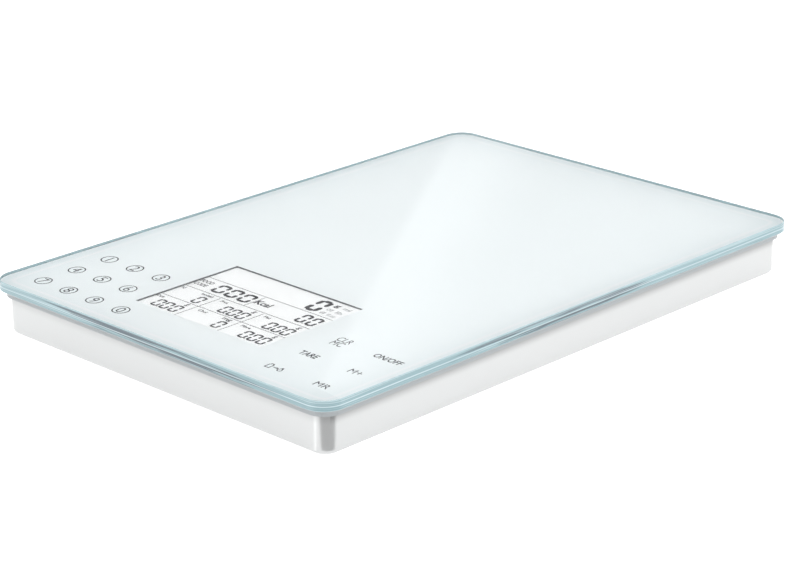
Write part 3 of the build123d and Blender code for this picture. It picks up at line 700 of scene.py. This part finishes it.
class SCALE_OT_function_keys(bpy.types.Operator):
    """Prints the labels and the icon of the function keys."""

    bl_idname = "scale.function_keys"
    bl_label = "Function keys"

    def execute(self, context):
        s = context.scene.scale_sizes
        ink = printed_ink("Printed label ink")
        labels = (
            ("label_clear", "CLR\nMC", 51.4, -83.1, 6.9, 2 * s.label_height + 0.9 * MM),
            ("label_tare", "TARE", 51.4, -98.8, 8.6, s.label_height),
            ("label_power", "ON/OFF", 74.7, -83.4, 13.0, s.label_height),
            ("label_memory_add", "M+", 74.7, -99.1, 5.8, s.label_height),
            ("label_memory_recall", "MR", 74.7, -115.0, 6.8, s.label_height),
        )
        for name, text, x, y, wide, high in labels:
            weight = 0.00001 if "M" in text else 0.0002
            lettering(text, (x * MM, y * MM), (wide * MM, high), INK_Z, weight)
            named(name)
            cover(ink)
            piece("case", "white_print")
        self.unit_icon(ink)
        return {"FINISHED"}

    def unit_icon(self, ink):
        """A cup, an arrow and a drop."""
        x, y = 51.4 * MM, -115.0 * MM
        line = 0.45 * MM
        cup = [
            (x - 2.6 * MM, y - 1.6 * MM, 2.4 * MM, line),
            (x - 3.6 * MM, y - 0.3 * MM, line, 3.0 * MM),
            (x - 1.6 * MM, y - 0.3 * MM, line, 3.0 * MM),
            (x - 2.6 * MM, y + 1.75 * MM, 1.3 * MM, line),
            (x - 3.2 * MM, y + 1.45 * MM, line, 0.9 * MM),
            (x - 2.0 * MM, y + 1.45 * MM, line, 0.9 * MM),
            (x + 0.2 * MM, y, 1.9 * MM, line),
        ]
        body = flat_bars(cup, INK_Z)
        tip = self.arrow_tip((x + 1.2 * MM, y), 0.75 * MM)
        drop = self.drop((x + 2.9 * MM, y - 0.5 * MM), 1.15 * MM, line)
        merged(body, tip, drop)
        named("icon_units")
        cover(ink)
        piece("case", "white_print")

    def arrow_tip(self, centre, radius):
        deselect()
        bpy.ops.mesh.primitive_circle_add(
            vertices=3, radius=radius, fill_type="NGON",
            location=(centre[0], centre[1], INK_Z), rotation=(0, 0, -math.pi / 2),
        )
        edit()
        raise_ink()
        settle()
        return active()

    def drop(self, centre, radius, line):
        """A ring drawn out to a point at the top."""
        o = flat_ring(centre, radius, line, INK_Z, sides=24)
        for v in o.data.vertices:
            up = v.co.y - centre[1]
            if up > 0:
                share = up / radius
                v.co.y = centre[1] + up * (1 + 0.9 * share)
                v.co.x = centre[0] + (v.co.x - centre[0]) * (1 - 0.45 * share)
        return o


# ---------------------------------------------------------------- the display


def zero_digit(wide, high, line):
    """A seven-segment nought about the origin."""
    gap = 0.18 * line
    side = high / 2 - line / 2 - gap
    top = wide - line - 2 * gap
    bars = [(0, sign * (high - line) / 2, top, line) for sign in (-1, 1)]
    for across in (-1, 1):
        for up in (-1, 1):
            bars.append((across * (wide - line) / 2, up * (high / 4 - gap / 2 + line * 0.05), line, side))
    return flat_bars(bars, 0, 0.42)


class SCALE_OT_display(bpy.types.Operator):
    """Builds the segments, lines and small marks of the display."""

    bl_idname = "scale.display"
    bl_label = "Display"

    def execute(self, context):
        c = context.scene.scale_colours
        self.z = FILM_TOP + 0.015 * MM
        dark = self.liquid_ink("Display segment", tuple(c.display_ink), 1.6)
        mid = self.liquid_ink("Display small mark", (0.04, 0.04, 0.045), 1.6)
        faint = self.liquid_ink("Display faint mark", tuple(c.display_faint), 1.15)
        line = self.liquid_ink("Display line", (0.05, 0.053, 0.056), 1.8)
        self.digits(dark)
        self.grid(line)
        self.marks(dark, mid, faint)
        return {"FINISHED"}

    def liquid_ink(self, name, shade, lift):
        """Segments are never quite even: the film behind shows through a little."""
        f = Finish(name)
        film = f.noise(1500, 2)
        lighter = tuple(min(1.0, v * lift) for v in shade)
        base = f.blend(film, shade, lighter)
        return f.done(f.surface(base_color=base, roughness=0.5 + film * 0.1, specular_ior_level=0.1))

    def digits(self, material):
        groups = {
            "display_weight_digit": (6.3, 11.6, 1.9, ((18.3, -62.1),)),
            "display_code_digits": (5.7, 8.1, 1.4, ((-20.6, -74.8), (-13.6, -74.8), (-6.5, -74.8))),
            "display_unit_digits": (4.2, 8.1, 1.15, ((23.7, -74.8), (29.1, -74.8))),
            "display_table_digits": (
                3.8, 6.8, 0.95,
                (
                    (-18.3, -88.0), (-3.8, -88.0), (0.85, -88.0), (5.45, -88.0),
                    (19.9, -88.0), (24.6, -88.0), (29.1, -88.0),
                    (-27.2, -99.6), (-22.7, -99.6), (-17.9, -99.6), (5.5, -99.6),
                    (19.9, -99.6), (24.6, -99.6), (29.1, -99.6),
                ),
            ),
        }
        points = (26.45, -78.4), (-1.5, -91.0), (22.2, -91.0), (-24.95, -102.6), (22.2, -102.6)
        for name, (wide, high, line, places) in groups.items():
            master = zero_digit(wide * MM, high * MM, line * MM)
            copies = [copy_moved(master, (x * MM, y * MM, self.z)) for x, y in places]
            bpy.data.objects.remove(master)
            merged(*copies)
            named(name)
            cover(material)
            piece("case", "polarizer_film")
        dots = [(x * MM, y * MM, 0.6 * MM, 0.6 * MM) for x, y in points]
        flat_bars(dots, self.z, 0.2)
        named("display_points")
        cover(material)
        piece("case", "polarizer_film")

    def grid(self, material):
        """The lines between the rows and cells, broken into short dashes."""
        s = sizes()
        dash, step = 1.15 * MM, 1.35 * MM
        wide = s.grid_line
        bars = []
        for y in (-69.1, -80.7, -92.4):
            count = int(67 * MM / step)
            for i in range(count):
                bars.append((-33.4 * MM + dash / 2 + i * step, y * MM, dash, wide))
        for x, low, high in ((-2.15, -80.7, -69.1), (-13.65, -104.6, -80.7), (9.55, -104.6, -80.7)):
            count = int((high - low) * MM / step)
            for i in range(count):
                bars.append((x * MM, (low + 0.35) * MM + dash / 2 + i * step, wide, dash))
        flat_bars(bars, self.z)
        named("display_lines")
        cover(material)
        piece("case", "polarizer_film")

    def marks(self, dark, mid, faint):
        small = 1.7
        groups = {
            "display_marks_dark": (
                dark, 0.0003,
                (("g", 24.0, -58.4, 2.6, 2.7), ("Kcal", 2.2, -74.6, 7.7, 3.8)),
            ),
            "display_marks": (
                mid, 0.00025,
                (
                    ("FOOD", -30.3, -73.0, 6.6, 2.4), ("CODE", -30.3, -76.4, 6.6, 2.4),
                    ("kJ", -32.4, -83.0, 1.8, small), ("total", -19.7, -82.6, 6.0, small),
                    ("Prot.", -9.6, -83.0, 3.9, small), ("g", 5.9, -82.9, 1.5, 2.4),
                    ("Fat", 13.3, -83.0, 3.2, small), ("g", 29.4, -82.9, 1.5, 2.4),
                    ("Carb", -31.9, -94.6, 3.9, small), ("g", -17.6, -94.5, 1.5, 2.4),
                    ("Chol", -8.7, -94.6, 4.4, small), ("mg", 4.0, -94.6, 4.6, 2.2),
                    ("Fibre", 14.6, -94.6, 4.8, small), ("g", 29.4, -94.5, 1.5, 2.4),
                ),
            ),
            "display_marks_faint": (
                faint, 0.0002,
                (("ml", 29.0, -58.0, 3.4, 2.2), ("oz", 24.4, -62.4, 2.9, 1.9), ("lb", 29.2, -62.4, 3.2, 2.2),
                 ("fl", 24.2, -66.2, 2.2, 2.2), ("fl.oz", 28.9, -66.2, 4.2, 2.2)),
            ),
        }
        for name, (material, weight, words) in groups.items():
            made = [
                lettering(text, (x * MM, y * MM), (w * MM, h * MM), self.z, weight)
                for text, x, y, w, h in words
            ]
            merged(*made)
            named(name)
            cover(material)
            piece("case", "polarizer_film")


# ---------------------------------------------------------------- housing and fittings


def satin_lacquer(name):
    """Silver-white lacquer: fine flake, soft orange peel and a painted shade under the glass's overhang."""
    f = Finish(name)
    flake = f.noise(5200, 2)
    peel = f.noise(420, 2)
    drift = f.noise(9, 2)
    shade = tuple(colours().tub)
    base = f.blend(drift * 0.6 + flake * 0.4, tuple(c * 0.93 for c in shade), shade)
    tub_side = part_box("base_housing")[1].x / MM
    on_right = f.axis("X") > tub_side - 0.7
    under_glass = f.axis("Z").smooth(12.0, 16.6) * (on_right * 0.5 + 0.3)
    base = f.blend(under_glass, base, tuple(c * 0.4 for c in shade))
    return f.done(
        f.surface(
            base_color=base,
            metallic=0.65 + (flake - 0.5) * 0.2,
            roughness=0.3 + (flake - 0.5) * 0.08,
            coat_weight=0.25,
            coat_roughness=0.25,
            normal=f.bump(peel, 0.015 * MM, 0.35),
        )
    )


class SCALE_OT_housing(bpy.types.Operator):
    """Smooths the tub, its battery door and the carrier plate; lacquers the tub and the door and gives the
    carrier satin plastic.
    """

    bl_idname = "scale.housing"
    bl_label = "Housing"

    def execute(self, context):
        lacquer = satin_lacquer("Satin silver lacquer")
        shade = tuple(context.scene.scale_colours.carrier)
        smooth_copy("base_housing", "tub_shell", lacquer, "case", "housing_plastic")
        door = satin_lacquer("Satin silver lacquer, door")
        smooth_copy("battery_door", "battery_cover", door, "battery_door", "housing_plastic")
        # The carrier's grey is partly painted shade, for the shade beneath the glass's overhang.
        carrier = plastic("Satin carrier plastic", shade, 0.45, 0.02)
        smooth_copy("glass_carrier", "carrier_plate", carrier, "case", "carrier_plastic")
        return {"FINISHED"}


class SCALE_OT_feet(bpy.types.Operator):
    """Smooths the weighing feet and their rubber pads."""

    bl_idname = "scale.feet"
    bl_label = "Feet"

    def execute(self, context):
        shell = plastic("Moulded foot plastic", (0.60, 0.61, 0.62), 0.45)
        soft = rubber("Soft grey rubber", (0.27, 0.28, 0.29))
        for corner in ("front_left", "front_right", "rear_left", "rear_right"):
            body = "foot_" + corner
            smooth_copy(body, "foot_cup_" + corner, shell, body, "foot_plastic")
            smooth_copy("foot_pad_" + corner, "foot_rubber_" + corner, soft, body, "pad_rubber")
        return {"FINISHED"}


def jacket():
    """A battery jacket: a dark band, a pale band and a plated ring at each end, along Y."""
    f = Finish("Printed battery jacket")
    low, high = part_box("battery_1")
    along = (f.axis("Y") - low.y / MM) / ((high.y - low.y) / MM)
    scuff = f.noise(300, 4)
    end = (along < 0.035) + (along > 0.955)
    band = (along > 0.70) * (along < 0.955)
    stripe = (along > 0.66) * (along < 0.69)
    shade = f.blend(scuff * 0.4, (0.035, 0.10, 0.18), (0.06, 0.15, 0.24))
    shade = f.blend(band, shade, (0.50, 0.24, 0.08))
    shade = f.blend(stripe, shade, (0.80, 0.80, 0.78))
    shade = f.blend(end, shade, (0.68, 0.67, 0.64))
    return f.done(
        f.surface(
            base_color=shade,
            metallic=(end * 0.9 + band * 0.5).clamped(),
            roughness=0.28 + scuff * 0.12,
            coat_weight=0.5,
            normal=f.bump(scuff, 0.01 * MM),
        )
    )


class SCALE_OT_batteries(bpy.types.Operator):
    """Smooths the three batteries and wraps them in printed jackets."""

    bl_idname = "scale.batteries"
    bl_label = "Batteries"

    def execute(self, context):
        wrap = jacket()
        for number in "123":
            smooth_copy("battery_" + number, "cell_" + number, wrap, "case", "battery_jacket", 40)
        return {"FINISHED"}


def laminate():
    """Circuit board: green mask over tracks, with a fine weave."""
    f = Finish("Green circuit board")
    rows = {"Vector": f.place(), "Scale": 260.0, "Mortar Size": 0.03}
    track = f.node("ShaderNodeTexBrick", None, rows, "Fac")
    weave = (f.axis("X") * 9).wave() * (f.axis("Y") * 9).wave()
    pads = f.cells(330) < 0.16
    shade = f.blend(track, (0.02, 0.17, 0.07), (0.05, 0.27, 0.12))
    shade = f.blend(pads, shade, (0.55, 0.54, 0.48))
    return f.done(
        f.surface(base_color=shade, roughness=0.38 + weave * 0.05, normal=f.bump(track, 0.03 * MM))
    )


def foam():
    f = Finish("Dark gasket foam")
    pores = f.cells(2600)
    return f.done(
        f.surface(
            base_color=f.blend(pores, (0.035, 0.04, 0.045), (0.16, 0.17, 0.18)),
            roughness=0.85 + (pores - 0.5) * 0.1,
            normal=f.bump(pores, 0.08 * MM, 0.8),
        )
    )


def display_film():
    """The polarizer that the display is seen through: pale and even, with a faint grain and a faint painted
    glow.
    """
    f = Finish("Display film")
    grain = f.noise(3000, 2)
    slow = f.noise(22, 2)
    shade = tuple(colours().display_face)
    return f.done(
        f.surface(
            base_color=f.blend(slow * 0.7 + grain * 0.3, tuple(c * 0.97 for c in shade), shade),
            roughness=0.6 + (grain - 0.5) * 0.1,
            specular_ior_level=0.1,
            # Painted light: a faint glow, though the display has no light of its own.
            emission_color=(1, 1, 1),
            emission_strength=0.09,
        )
    )


def gauge():
    """Strain gauge film: amber, with the folded foil grid."""
    f = Finish("Amber gauge film")
    grid = (f.axis("X") * 26).wave() > 0.1
    haze = f.noise(600, 2)
    foil = f.blend(haze, (0.42, 0.36, 0.26), (0.62, 0.55, 0.42))
    return f.done(
        f.surface(
            base_color=f.blend(grid, (0.55, 0.25, 0.06), foil),
            metallic=grid * 0.7,
            roughness=0.35 + haze * 0.1,
        )
    )


def layered_rubber():
    """Elastomer connector: dark and pale layers side by side."""
    f = Finish("Layered contact rubber")
    layer = (f.axis("X") * 22).wave() > 0.0
    speck = f.noise(1500, 2)
    return f.done(
        f.surface(
            base_color=f.blend(layer, (0.03, 0.03, 0.035), (0.36, 0.34, 0.32)),
            roughness=0.6 + (speck - 0.5) * 0.2,
            normal=f.bump(layer, 0.01 * MM),
        )
    )


def capped_ceramic():
    """Chip capacitors: a speckled tan body; their tinned ends are not drawn."""
    f = Finish("Tan ceramic")
    speck = f.noise(1900, 3)
    return f.done(
        f.surface(
            base_color=f.blend(speck, (0.28, 0.19, 0.10), (0.48, 0.36, 0.22)),
            roughness=0.45 + (speck - 0.5) * 0.2,
            normal=f.bump(speck, 0.02 * MM),
        )
    )


def paper():
    f = Finish("Blank label paper")
    fibre = f.noise(900, 5)
    return f.done(
        f.surface(
            base_color=f.blend(fibre, (0.58, 0.59, 0.60), (0.72, 0.73, 0.74)),
            roughness=0.55 + (fibre - 0.5) * 0.2,
            normal=f.bump(fibre, 0.02 * MM),
        )
    )


class SCALE_OT_fittings(bpy.types.Operator):
    """Gives the parts inside and underneath their finishes."""

    bl_idname = "scale.fittings"
    bl_label = "Fittings"

    def execute(self, context):
        made = {
            # Partly painted shade: the tape's grey is set dark to stand for the shade beneath the glass.
            "tape": plastic("Grey bonding tape", (0.46, 0.48, 0.49), 0.6, 0.05),
            "screw_steel": metal("Zinc plated steel", (0.60, 0.61, 0.63), 0.32, scale=900),
            "spring_steel": metal("Rolled spring steel", (0.55, 0.56, 0.57), 0.35, (1, 12, 1), 160),
            "nickel_plate": metal("Nickel plate", (0.66, 0.63, 0.58), 0.22, scale=400),
            "can_metal": metal("Bright can metal", (0.70, 0.70, 0.70), 0.2, (8, 1, 1), 260),
            "cap_plastic": plastic("Moulded cap plastic", (0.74, 0.74, 0.72), 0.5),
            "lead_white": insulation("White insulation", (0.74, 0.74, 0.73)),
            "lead_red": insulation("Red insulation", (0.50, 0.02, 0.02)),
            "lead_black": insulation("Black insulation", (0.02, 0.02, 0.022)),
            "gauge_film": gauge(),
            "gasket_foam": foam(),
            "polarizer_film": display_film(),
            "lcd_glass": plastic("Display glass sheet", (0.62, 0.68, 0.68), 0.08, 0.002, 0.04),
            "reflector_film": plastic("White reflector film", (0.80, 0.82, 0.82), 0.3, 0.004),
            "frame_plastic": plastic("Moulded frame plastic", (0.66, 0.67, 0.67), 0.5),
            "contact_rubber": layered_rubber(),
            "board_laminate": laminate(),
            "chip_epoxy": plastic("Black chip epoxy", (0.022, 0.022, 0.024), 0.5, 0.03, 0.3),
            "ceramic": capped_ceramic(),
            "connector_plastic": plastic("Connector plastic", (0.78, 0.77, 0.70), 0.42),
            "header_plastic": plastic("Black header plastic", (0.03, 0.03, 0.03), 0.45, 0.03, 0.25),
            "label_paper": paper(),
        }
        for part in frame["record"]["subparts"]:
            node = frame["nodes"][part["node"]]
            material = made.get(part["material_slot"])
            if material is None or node.hide_render:
                continue
            for slot in node.material_slots:
                slot.material = material
            if not node.material_slots:
                node.data.materials.append(material)
        return {"FINISHED"}


# ---------------------------------------------------------------- stage


CAMERA_AZIMUTH, CAMERA_ELEVATION, CAMERA_ROLL = 44.74, 20.475, -0.668
CAMERA_PLACE = (0.65946, -0.67080, 0.35546)
CAMERA_SENSOR, CAMERA_LENS = 36.0, 118.86
WALL_LIGHT, ZENITH_LIGHT = 0.22, 1.45


def soft_lamp(name, place, size, power):
    """A rectangular softbox that faces the origin."""
    deselect()
    bpy.ops.object.light_add(type="AREA", location=place)
    lamp = active()
    lamp.name = lamp.data.name = name
    lamp.data.shape = "RECTANGLE"
    lamp.data.size, lamp.data.size_y = size
    lamp.data.energy = power
    lamp.rotation_euler = (-Vector(place)).to_track_quat("-Z", "Y").to_euler()
    lamp.visible_camera = False
    return lamp


class SCALE_OT_stage(bpy.types.Operator):
    """Sets the pale floor, the soft lamps, the sky and the camera."""

    bl_idname = "scale.stage"
    bl_label = "Stage"

    def execute(self, context):
        self.floor()
        self.sky()
        self.lamps()
        self.camera()
        view = context.scene.view_settings
        view.view_transform, view.look = "Standard", "None"
        view.exposure, view.gamma = 0.0, 1.0
        return {"FINISHED"}

    def floor(self):
        deselect()
        bpy.ops.mesh.primitive_plane_add(size=12.0, location=(0, 0, -0.0002))
        named("floor")
        f = Finish("White studio floor")
        cloud = f.noise(0.7, 2)
        pale = f.blend(cloud, (0.44, 0.44, 0.44), (0.46, 0.46, 0.46))
        glow = {"emission_color": (1, 1, 1), "emission_strength": 0.78}
        cover(f.done(f.surface(base_color=pale, roughness=0.9, **glow)))

    def sky(self):
        """Pale overhead, greyer towards the walls, so that the glass isn't veiled."""
        world = bpy.data.worlds.new("Studio")
        bpy.context.scene.world = world
        world.use_nodes = True
        tree = world.node_tree
        back = tree.nodes["Background"]
        where = tree.nodes.new("ShaderNodeTexCoord")
        parts = tree.nodes.new("ShaderNodeSeparateXYZ")
        ramp = tree.nodes.new("ShaderNodeMapRange")
        ramp.interpolation_type = "SMOOTHSTEP"
        for socket, value in zip((1, 2, 3, 4), (0.42, 0.75, WALL_LIGHT, ZENITH_LIGHT)):
            ramp.inputs[socket].default_value = value
        tree.links.new(where.outputs["Generated"], parts.inputs[0])
        tree.links.new(parts.outputs["Z"], ramp.inputs[0])
        tree.links.new(ramp.outputs[0], back.inputs["Strength"])
        back.inputs["Color"].default_value = (1.0, 1.0, 1.0, 1.0)

    def lamps(self):
        soft_lamp("left softbox", (-1.1, -1.0, 0.7), (1.0, 0.8), 1.5)
        soft_lamp("front strip", (0.10, -1.2, 0.35), (0.3, 0.7), 1.2)
        soft_lamp("right softbox", (1.2, 0.10, 0.35), (0.4, 0.7), 1.2)
        soft_lamp("rear right softbox", (1.0, 0.9, 0.5), (1.0, 0.8), 2.8)
        soft_lamp("top softbox", (-0.2, 0.3, 1.8), (1.4, 1.4), 5.5).visible_glossy = False
        self.gleam_card()
        self.flag()
        self.floor_card("corner_flag", 62.0, 56.0, 0.38)
        self.floor_card("front_gleam", -22.0, 5.0, 2.3)

    def gleam_card(self):
        """A leaning card whose light fades to one side; it gleams in the glass."""
        deselect()
        bpy.ops.mesh.primitive_plane_add(size=1.0)
        card = named("gleam_card")
        card.scale = (0.13, 0.36, 1.0)
        lean = Matrix.Rotation(math.radians(27.6), 4, "Z")
        upright = Matrix.Rotation(math.radians(90), 4, "X")
        facing = Matrix.Rotation(math.radians(CAMERA_AZIMUTH), 4, "Z")
        middle = Vector((-0.7039 * 1.6, 0.7103 * 1.6, 0.61)) + Vector((0.7103, 0.7039, 0)) * 0.045
        settle()
        card.matrix_world = Matrix.Translation(middle) @ facing @ upright @ lean
        f = Finish("Fading card")
        across = self.card_axis(f)
        strength = across.smooth(-0.065, -0.045) * (1 - across.smooth(-0.03, 0.065))
        light = f.node("ShaderNodeEmission", None, {"Color": (1, 1, 1), "Strength": 0.54})
        clear = f.node("ShaderNodeBsdfTransparent")
        cover(f.done(f.node("ShaderNodeMixShader", None, {0: strength, 1: clear, 2: light})))
        card.visible_camera = card.visible_diffuse = card.visible_shadow = False

    def card_axis(self, f):
        where = f.node("ShaderNodeTexCoord", out="Object")
        return f.node("ShaderNodeSeparateXYZ", None, {0: where}, "X")

    def floor_card(self, name, azimuth, half_angle, light):
        """A strip on the floor that fans out from the near corner and shows only in gloss."""
        deselect()
        bpy.ops.mesh.primitive_plane_add(size=1.0)
        card = named(name)
        reach = 0.10
        spread = 2 * reach * math.tan(math.radians(half_angle))
        card.scale = (spread, reach, 1.0)
        settle()
        edit()
        select_where(lambda v: v.co.y > 0, "VERT")
        bpy.ops.transform.resize(value=(0.03, 1, 1), center_override=(0, reach / 2, 0))
        leave()
        az = math.radians(azimuth)
        out = Vector((math.sin(az), -math.cos(az), 0))
        low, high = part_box("base_housing")
        start = Vector((high.x - 4 * MM, low.y + 4 * MM, 0.6 * MM)) + out * 6 * MM
        card.matrix_world = Matrix.Translation(start + out * reach / 2) @ Matrix.Rotation(az, 4, "Z")
        f = Finish(name + " light")
        soft = f.noise(8, 1)
        glow = f.node("ShaderNodeEmission", None, {"Color": (1, 1, 1), "Strength": soft * 0.1 + light})
        cover(f.done(glow))
        card.visible_camera = card.visible_diffuse = card.visible_shadow = False
        card.visible_transmission = False

    def flag(self):
        """A dark card behind the camera, for the grey line down the rounded corner."""
        deselect()
        bpy.ops.mesh.primitive_plane_add(size=1.0)
        card = named("dark_flag")
        card.scale = (0.7, 0.8, 1.0)
        settle()
        az = math.radians(CAMERA_AZIMUTH)
        middle = Vector((math.sin(az) * 1.15, -math.cos(az) * 1.15, 0.4))
        turn = Matrix.Rotation(az, 4, "Z") @ Matrix.Rotation(math.radians(90), 4, "X")
        card.matrix_world = Matrix.Translation(middle) @ turn
        f = Finish("Dark flag cloth")
        weave = f.noise(300, 2)
        cloth = f.blend(weave, (0.02, 0.02, 0.02), (0.04, 0.04, 0.04))
        cover(f.done(f.surface(base_color=cloth, roughness=0.9)))
        card.visible_camera = False

    def camera(self):
        az, el = math.radians(CAMERA_AZIMUTH), math.radians(CAMERA_ELEVATION)
        roll = math.radians(CAMERA_ROLL)
        back = Vector((math.sin(az) * math.cos(el), -math.cos(az) * math.cos(el), math.sin(el)))
        right = (-back).cross(Vector((0, 0, 1))).normalized()
        up = right.cross(-back)
        side = right * math.cos(roll) + up * math.sin(roll)
        rise = up * math.cos(roll) - right * math.sin(roll)
        deselect()
        bpy.ops.object.camera_add()
        camera = active()
        turn = Matrix((side, rise, back)).transposed()
        camera.matrix_world = Matrix.Translation(CAMERA_PLACE) @ turn.to_4x4()
        camera.data.sensor_width = CAMERA_SENSOR
        camera.data.lens = CAMERA_LENS
        camera.data.clip_start, camera.data.clip_end = 0.01, 100.0
        bpy.context.scene.camera = camera


# ---------------------------------------------------------------- panel and run


OPERATORS = (
    SCALE_OT_platform,
    SCALE_OT_print,
    SCALE_OT_digit_keys,
    SCALE_OT_function_keys,
    SCALE_OT_display,
    SCALE_OT_housing,
    SCALE_OT_feet,
    SCALE_OT_batteries,
    SCALE_OT_fittings,
    SCALE_OT_stage,
)


class SCALE_PT_panel(bpy.types.Panel):
    """Lists the steps that build the scale."""

    bl_idname = "SCALE_PT_panel"
    bl_label = "Kitchen Scale"
    bl_space_type = "VIEW_3D"
    bl_region_type = "UI"
    bl_category = "Kitchen Scale"

    def draw(self, context):
        column = self.layout.column()
        for group in (context.scene.scale_sizes, context.scene.scale_colours):
            for key in group.__annotations__:
                column.prop(group, key)
        for operator in OPERATORS:
            column.operator(operator.bl_idname)


CLASSES = (ScaleSizes, ScaleColours, *OPERATORS, SCALE_PT_panel)


def register():
    for cls in CLASSES:
        bpy.utils.register_class(cls)
    bpy.types.Scene.scale_sizes = bpy.props.PointerProperty(type=ScaleSizes)
    bpy.types.Scene.scale_colours = bpy.props.PointerProperty(type=ScaleColours)


def unregister():
    del bpy.types.Scene.scale_colours
    del bpy.types.Scene.scale_sizes
    for cls in reversed(CLASSES):
        bpy.utils.unregister_class(cls)


def main():
    register()
    for operator in OPERATORS:
        group, name = operator.bl_idname.split(".")
        getattr(getattr(bpy.ops, group), name)()


if __name__ == "__main__":
    main()
